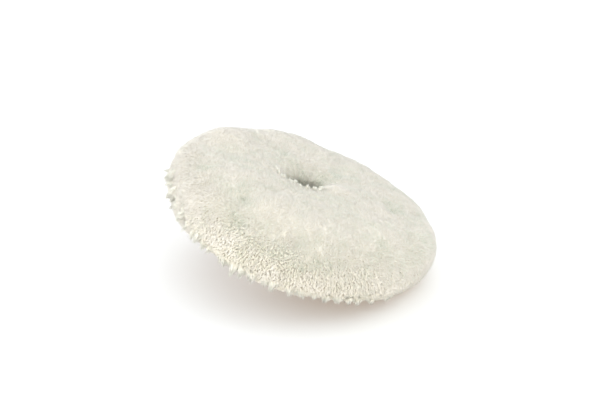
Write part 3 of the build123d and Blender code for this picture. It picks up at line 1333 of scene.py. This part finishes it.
def cover_evenly(bed: Object, facing: float, reach: float, radii: Pair) -> None:
    """Write the planting attributes for an even cover on the side of a bed that faces up or down.

    Args:
        bed: the piece that is planted.
        facing: 1 for the upper side and -1 for the lower.
        reach: the height of what is planted.
        radii: the ring that is planted, inner and outer.
    """
    mesh = bed.data
    count = len(mesh.vertices)
    points = np.empty(count * 3, np.float32)
    normals = np.empty(count * 3, np.float32)
    mesh.vertices.foreach_get("co", points)
    mesh.vertices.foreach_get("normal", normals)
    points = points.reshape(-1, 3)
    radius = np.hypot(points[:, 0], points[:, 1])
    flat = (facing * normals.reshape(-1, 3)[:, 2] > 0.9) & (radius > radii[0]) & (radius < radii[1])
    values = {"reach": np.full(count, reach), "cover": flat, "tone": np.full(count, 0.5)}
    steer(mesh, values, np.zeros((count, 3)))


@dataclass
class Layer:
    """One turned layer of the pad: a closed ring section with a slightly uneven surface."""

    name: str
    node: str
    slot: Slot
    body: Body
    finish: Finish
    unevenness: float = 0.0
    hill: float = 9 * MM
    around: int = 200
    points: int = 110

    def bounds(self) -> Triple:
        """The node's outer radius, lowest level and highest level."""
        low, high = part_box(self.node)
        return high.y, low.z, high.z

    def outline(self, azimuth: float) -> list[Pair]:
        """The layer's own outline at an azimuth."""
        raise NotImplementedError

    def build(self) -> Object:
        """Make the layer in place of its node.

        Returns:
            The layer.
        """
        points, faces = lathe(lambda azimuth: evenly(self.outline(azimuth), self.points), self.around)
        if self.unevenness:
            radius, low, high = self.bounds()
            away = np.hypot(points[:, 0], points[:, 1]) / radius
            loose = self.unevenness * ripples(points, (1, self.hill, 4.4))
            points[:, :2] *= 1 + (ramp(away, 0.93, 1.0) * loose / np.maximum(away, 0.1) / radius)[:, None]
        made = piece_from(self.name, points, faces, self.finish.material())
        map_rings(made, self.around, self.points)
        settle(made, self.body, self.slot, self.node)
        return made


@dataclass
class FlatLayer(Layer):
    """A washer-shaped layer with rounded edges."""

    bore: float = 12 * MM
    edge: float = 0.2 * MM
    low_trim: float = 0.0
    high_trim: float = 0.0
    bulge: float = 0.0

    def outline(self, azimuth: float) -> list[Pair]:
        """Draw the layer's outline.

        Args:
            azimuth: the angle round the spindle axis in radians; not used.

        Returns:
            Radii and heights, counterclockwise.
        """
        radius, low, high = self.bounds()
        low, high, e = low + self.low_trim, high - self.high_trim, self.edge
        waist = (low + high) / 2
        corners = arc((self.bore + e, low + e), (e, e), 180, 270, 5)
        corners += arc((radius - self.bulge - e, low + e), (e, e), 270, 360, 5)
        corners += [(radius, waist)] if self.bulge else []
        corners += arc((radius - self.bulge - e, high - e), (e, e), 0, 90, 5)
        return corners + arc((self.bore + e, high - e), (e, e), 90, 180, 5)


@dataclass
class CanvasDish(Layer):
    """The canvas that carries the tufts, turned down round the backing in a hemmed edge."""

    bore: float = 12 * MM
    thickness: float = 1 * MM
    corner: float = 1.6 * MM
    flat_width: float = 141 * MM

    def outline(self, azimuth: float) -> list[Pair]:
        """Draw the layer's outline.

        Args:
            azimuth: the angle round the spindle axis in radians.

        Returns:
            Radii and heights, counterclockwise.
        """
        radius, low, high = self.bounds()
        low += 0.35 * MM * (1 + math.sin(5 * azimuth) * math.sin(17 * azimuth + 1.0))
        inner, t, c = radius - self.thickness, self.thickness, self.corner
        under = [(self.bore, high - t)] + arc((inner - c + t, high - c), (c - t, c - t), 90, 0, 5)
        hem = arc((inner + t / 2, low + t / 2), (t / 2, t / 2), 180, 360, 8)
        return under + hem + arc((radius - c, high - c), (c, c), 0, 90, 6) + [(self.bore, high)]

    def lay(self, made: Object) -> None:
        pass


@dataclass(frozen=True)
class StitchRow:
    """A running stitch round the inner side of the hem, spread by Geometry Nodes."""

    count: int
    radius: float
    level: float
    thickness: float
    gap: float

    def build(self, material: Material) -> Object:
        """Make the row.

        Args:
            material: the thread's material.

        Returns:
            The stitches as one plain mesh object.
        """
        pitch = TURN * self.radius / self.count
        values = {"Count": self.count, "Row Radius": self.radius, "Level": self.level,
                  "Length": pitch - self.gap, "Thickness": self.thickness}
        tree, wiring, given = geometry_tree("stitch row", dict.fromkeys(values, "Float") | {"Count": "Int"})
        out = wiring.out
        row = out("GeometryNodeMeshCircle", {"Vertices": given["Count"], "Radius": given["Row Radius"]})
        place = out("GeometryNodeInputPosition")
        facing = out("FunctionNodeAlignRotationToVector", {"Vector": place}, axis="X")
        bar = out("GeometryNodeMeshUVSphere", {"Segments": 8, "Rings": 8, "Radius": 1.0})
        half = wiring.maths("MULTIPLY", given["Length"], 0.5)
        size = out("ShaderNodeCombineXYZ", {0: given["Thickness"], 1: half, 2: given["Thickness"]})
        raised = out("ShaderNodeCombineXYZ", {2: given["Level"]})
        lifted = out("GeometryNodeSetPosition", {"Geometry": row, "Offset": raised})
        stitches = out("GeometryNodeInstanceOnPoints",
                       {"Points": lifted, "Instance": bar, "Rotation": facing, "Scale": size})
        whole = out("GeometryNodeRealizeInstances", {0: stitches})
        worn = out("GeometryNodeSetMaterial", {"Geometry": whole, "Material": material})
        wiring.add("NodeGroupOutput", {0: worn})
        carrier = piece_from("stitch_carrier", np.zeros((3, 3)), [(0, 1, 2)], material)
        made = grown("hem_stitches", tree, carrier, values)
        bpy.data.objects.remove(carrier)
        return made


@dataclass
class PadLayers:
    """The cloth and latex layers that ride with the wool."""

    loop_reach: float = 0.58 * MM
    margin: float = 0.8 * MM
    stitch_count: int = 72
    stitch_gap: float = 1.0 * MM

    def build(self) -> None:
        """Make the canvas, the latex coat, the loop cloth and the stitching."""
        bore = round_wall("centre_hole")
        canvas = CanvasDish("canvas_dish", "tufted_canvas", Slot.CANVAS, Body.PAD, CANVAS, 0.12 * MM,
                            bore=bore, points=170)
        canvas.lay(canvas.build())
        FlatLayer("latex_layer", "latex_coat", Slot.LATEX, Body.PAD, LATEX, 0.5 * MM, 5 * MM, bore=bore,
                  edge=0.12 * MM).build()
        knit = FlatLayer("loop_backing", "loop_cloth", Slot.LOOP, Body.PAD, KNIT, 0.2 * MM, 7 * MM, bore=bore,
                         low_trim=0.6 * MM)
        backing = knit.build()
        radius, low, high = knit.bounds()
        cover_evenly(backing, -1.0, self.loop_reach, (bore + self.margin, radius - self.margin))
        loops = self._loops(backing)
        self._stitches()

    def _loops(self, backing: Object) -> Object:
        """Plant the loop pile on the lower side of its backing.

        Args:
            backing: the cloth, with its planting attributes.

        Returns:
            The loops.
        """
        shapes = strand_box("loop", [Arch(stem=0.2, reach=0.8 + 0.15 * k) for k in range(3)])
        tree = PlantingTree("loop planting", shapes, LOOPS.material())
        growth = Growth(spacing=1.35 * MM, width=0.42 * MM, stray=0.2, seed=5, crowding=4.0e6, roundness=1.0)
        loops = tree.grow("loop_pile", backing, growth, 0)
        settle(loops, Body.PAD, Slot.LOOP)
        return loops

    def _stitches(self) -> None:
        """The running stitch round the hem."""
        low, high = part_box("edge_stitching")
        thick = (high.z - low.z) / 2
        row = StitchRow(self.stitch_count, high.y - thick, (low.z + high.z) / 2, thick, self.stitch_gap)
        settle(row.build(THREAD.material()), Body.PAD, Slot.THREAD, "edge_stitching")


# ---- the backing plate


@dataclass
class BackingPlate:
    """The plate that stays on the spindle: moulded nylon, foam, hooks and the threaded hub."""

    bore: float = 7.5 * MM
    hook_reach: float = 0.78 * MM
    margin: float = 0.8 * MM
    thread_pitch: float = 2.0 * MM
    thread_depth: float = 1.0 * MM
    thread_around: int = 72
    thread_rows: int = 12
    thread_fade: int = 10

    def build(self) -> None:
        """Dress or replace each of the plate's nodes."""
        for name, finish in (("backing_plate", NYLON), ("reinforcing_disc", PLATED), ("hub_rivets", RIVETED)):
            frame["nodes"][name].material_slots[0].material = finish.material()
            LOG.info("%s: kept, with %s", name, finish.name)
        foam = FlatLayer("foam_pad", "foam_cushion", Slot.FOAM, Body.PLATE, FOAM, 0.25 * MM, 4 * MM,
                         bore=self.bore, edge=0.8 * MM, bulge=0.3 * MM)
        foam.build()
        self._hooks()
        self._hub()

    def _hooks(self) -> None:
        """The hook disc: its base, and hooks planted on the upper side."""
        layer = FlatLayer("hook_base", "hook_disc", Slot.HOOK, Body.PLATE, HOOK_BASE, bore=self.bore,
                          high_trim=0.8 * MM)
        base = layer.build()
        radius, low, high = layer.bounds()
        cover_evenly(base, 1.0, self.hook_reach, (self.bore + self.margin, radius - self.margin))
        shapes = strand_box("hook", [Arch(stem=0.45, reach=0.9, sweep=130.0, steps=5, thickness=0.26),
                                     Arch(stem=0.4, reach=1.0, sweep=150.0, steps=5, thickness=0.24)])
        tree = PlantingTree("hook planting", shapes, HOOKS.material())
        growth = Growth(spacing=1.35 * MM, width=0.34 * MM, stray=0.05, seed=3, crowding=4.0e6, roundness=4.0,
                        unevenness=0.05)
        settle(tree.grow("hook_field", base, growth, 0), Body.PLATE, Slot.HOOK)

    def _hub(self) -> None:
        """The hub with its thread cut: the frame's own hub, and a helical wall in place of the plain one."""
        plain = frame["nodes"]["threaded_hub"]
        mesh = plain.data.copy()
        mesh.name = "thread_hub"
        mesh.materials.clear()
        mesh.materials.append(PLATED.material())
        shape = bmesh.new()
        shape.from_mesh(mesh)
        bmesh.ops.remove_doubles(shape, verts=shape.verts, dist=1e-6)
        core = round_wall("spindle_thread")
        wall = [face for face in shape.faces
                if all(abs(math.hypot(v.co.x, v.co.y) - core) < 0.02 * MM for v in face.verts)]
        bmesh.ops.delete(shape, geom=wall, context="FACES")
        rims = [edge for edge in shape.edges if edge.is_boundary]
        low, high = (pick(v.co.z for edge in rims for v in edge.verts) for pick in (min, max))
        ends = self._thread(shape, core, low + 0.05 * MM, high - 0.05 * MM)
        for level, ring in ((low, ends[0]), (high, ends[1])):
            near = [edge for edge in rims if abs(edge.verts[0].co.z - level) < 0.1 * MM]
            bmesh.ops.bridge_loops(shape, edges=near + ring)
        bmesh.ops.recalc_face_normals(shape, faces=shape.faces)
        shape.to_mesh(mesh)
        shape.free()
        mesh.polygons.foreach_set("use_smooth", [False] * len(mesh.polygons))
        settle(linked("thread_hub", mesh), Body.PLATE, Slot.STEEL, "threaded_hub")

    def _thread(self, shape: bmesh.types.BMesh, core: float, low: float, high: float,
                ) -> tuple[list[bmesh.types.BMEdge], list[bmesh.types.BMEdge]]:
        """Add the helical wall to a mesh.

        Args:
            shape: the mesh being built.
            core: the thread's inner radius.
            low: where the wall starts.
            high: where it ends.

        Returns:
            The edges of its lower and upper rings.
        """
        around, rows = self.thread_around, self.thread_rows * int((high - low) / self.thread_pitch)
        rings = []
        for row in range(rows + 1):
            level = low + (high - low) * row / rows
            fade = min(1.0, row / self.thread_fade, (rows - row) / self.thread_fade)
            ring = []
            for turn in range(around):
                share = (level / self.thread_pitch - turn / around) % 1.0
                flank = min(1.0, max(0.0, 1.25 - 2.9 * abs(share - 0.5)))
                radius = core + self.thread_depth * flank * fade
                angle = TURN * turn / around
                ring.append(shape.verts.new((radius * math.cos(angle), radius * math.sin(angle), level)))
            rings.append(ring)
        for lower, upper in zip(rings, rings[1:]):
            for turn in range(around):
                after = (turn + 1) % around
                shape.faces.new((lower[after], lower[turn], upper[turn], upper[after]))
        return tuple([shape.edges.get((ring[turn], ring[(turn + 1) % around])) for turn in range(around)]
                     for ring in (rings[0], rings[-1]))


# ---- floor, lamps and camera


@dataclass(frozen=True)
class Lamp:
    """A square lamp: the way to it in the floor's axes, its power and its width."""

    name: str
    side: Triple
    power: float
    width: float


@dataclass
class Stage:
    """The floor that the pad leans on, the lamps and the camera, all turned with the floor."""

    lean: float = math.radians(18.74)
    lean_azimuth: float = math.radians(6.3)
    twist: float = math.radians(-0.9)
    elevation: float = math.radians(25.0)
    distance: float = 0.600
    lens: float = 65.2
    shift_right: float = -1.2 * MM
    shift_up: float = 2.6 * MM
    sky: float = 1.20
    lamps: tuple[Lamp, ...] = (Lamp("key", (0.55, -0.8, 0.8), 2.7, 1.2),
                               Lamp("fill", (-1.0, -0.1, 0.45), 3.2, 0.9))
    floor_reach: float = 3.0
    floor_lit: Triple = (0.93, 0.90, 0.86)
    floor_seen: Triple = (0.62, 0.71, 0.78)
    floor_glow: Triple = (0.35, 0.26, 0.18)
    target: Vector = field(default_factory=lambda: Vector((0, 0, 38 * MM)))

    def to_row(self) -> Matrix:
        """Work out the turn from the floor's axes to the frame's axes.

        Returns:
            The turn.
        """
        away = Vector((math.cos(self.lean_azimuth), math.sin(self.lean_azimuth), 0))
        upright = Matrix.Rotation(self.lean, 3, Vector((0, 0, 1)).cross(away)).transposed()
        return Matrix.Rotation(self.twist, 3, "Z") @ upright

    def build(self) -> None:
        """Make the floor, the lamps, the world and the camera."""
        self._camera()
        self._world()
        self._lamps()
        self._floor()

    def _placed(self, name: str, data: bpy.types.ID, seat: Vector, facing: Vector, top: Vector) -> Object:
        """An object that looks along its own -Z, placed in the frame's axes.

        Args:
            name: the object's name.
            data: its lamp or camera.
            seat: where it stands.
            facing: the way it looks.
            top: the way its top points, roughly.

        Returns:
            The linked object.
        """
        back = -facing.normalized()
        right = top.cross(back).normalized()
        turn = Matrix((right, back.cross(right), back)).transposed().to_4x4()
        made = linked(name, data)
        made.matrix_world = Matrix.Translation(seat) @ turn
        return made

    def _camera(self) -> None:
        """The camera, above the floor on its near side."""
        turn = self.to_row()
        back = turn @ Vector((0, -math.cos(self.elevation), math.sin(self.elevation)))
        right = turn @ Vector((1, 0, 0))
        top = back.cross(right)
        data = bpy.data.cameras.new("camera")
        data.sensor_width = 36.0
        data.lens = self.lens
        data.clip_start, data.clip_end = 0.01, 50.0
        seat = self.target + back * self.distance + (right * self.shift_right + top * self.shift_up)
        bpy.context.scene.camera = self._placed("camera", data, seat, -back, top)

    def _world(self) -> None:
        """A white sky: plain level for light, full white to the eye and in reflections."""
        world = bpy.data.worlds.new("studio")
        world.use_nodes = True
        world.node_tree.nodes.clear()
        wiring = Wiring(world.node_tree)
        path = wiring.add("ShaderNodeLightPath").outputs
        seen = wiring.maths("MAXIMUM", path["Is Camera Ray"], path["Is Glossy Ray"])
        seen = wiring.maths("MAXIMUM", seen, path["Is Transmission Ray"])
        strength = wiring.spread(seen, 0, 1, self.sky, 1.0)
        sky = wiring.out("ShaderNodeBackground", {"Color": (1, 1, 1, 1), "Strength": strength})
        wiring.add("ShaderNodeOutputWorld", {"Surface": sky})
        bpy.context.scene.world = world

    def _lamps(self) -> None:
        """A large soft lamp in front and to the right, and a lower one from the left."""
        turn = self.to_row()
        for lamp in self.lamps:
            data = bpy.data.lights.new(lamp.name, "AREA")
            data.energy, data.size, data.shape = lamp.power, lamp.width, "SQUARE"
            toward = (turn @ Vector(lamp.side)).normalized()
            self._placed(lamp.name, data, self.target + toward, -toward, turn @ Vector((0, 1, 0)))

    def _floor(self) -> None:
        """A wide sheet under the pad, on the tilt of its lean."""
        turn = self.to_row()
        normal = turn @ Vector((0, 0, 1))
        level = min(normal.dot(Vector(vertex.co)) for name in ("threaded_hub", "wool_rim")
                    for vertex in frame["nodes"][name].data.vertices)
        corners = [turn @ Vector((x * self.floor_reach, y * self.floor_reach, level))
                   for x, y in ((-1, -1), (1, -1), (1, 1), (-1, 1))]
        material, wiring = blank_material("studio floor")
        path = wiring.add("ShaderNodeLightPath").outputs
        seen = wiring.maths("MAXIMUM", path["Is Camera Ray"], path["Is Glossy Ray"])
        colour = wiring.mix_colour(seen, rgba(self.floor_lit), rgba(self.floor_seen))
        lit = wiring.out("ShaderNodeBsdfDiffuse", {"Color": colour})
        glow = wiring.out("ShaderNodeEmission", {"Color": rgba(self.floor_glow), "Strength": seen})
        front = wiring.out("ShaderNodeAddShader", {0: lit, 1: glow})
        side = wiring.add("ShaderNodeNewGeometry").outputs["Backfacing"]
        clear = wiring.out("ShaderNodeBsdfTransparent")
        both = wiring.out("ShaderNodeMixShader", {0: side, 1: front, 2: clear})
        wiring.add("ShaderNodeOutputMaterial", {"Surface": both})
        floor = piece_from("studio_floor", np.array(corners), [(0, 1, 2, 3)], material)


# ---- building


def main() -> None:
    """Build the stage and every piece, in order."""
    logging.basicConfig(level=logging.INFO, format="%(name)s: %(message)s")
    bpy.context.scene.view_settings.view_transform = "Standard"
    Stage().build()
    WoolPad().build()
    PadLayers().build()
    BackingPlate().build()


if __name__ == "__main__":
    main()
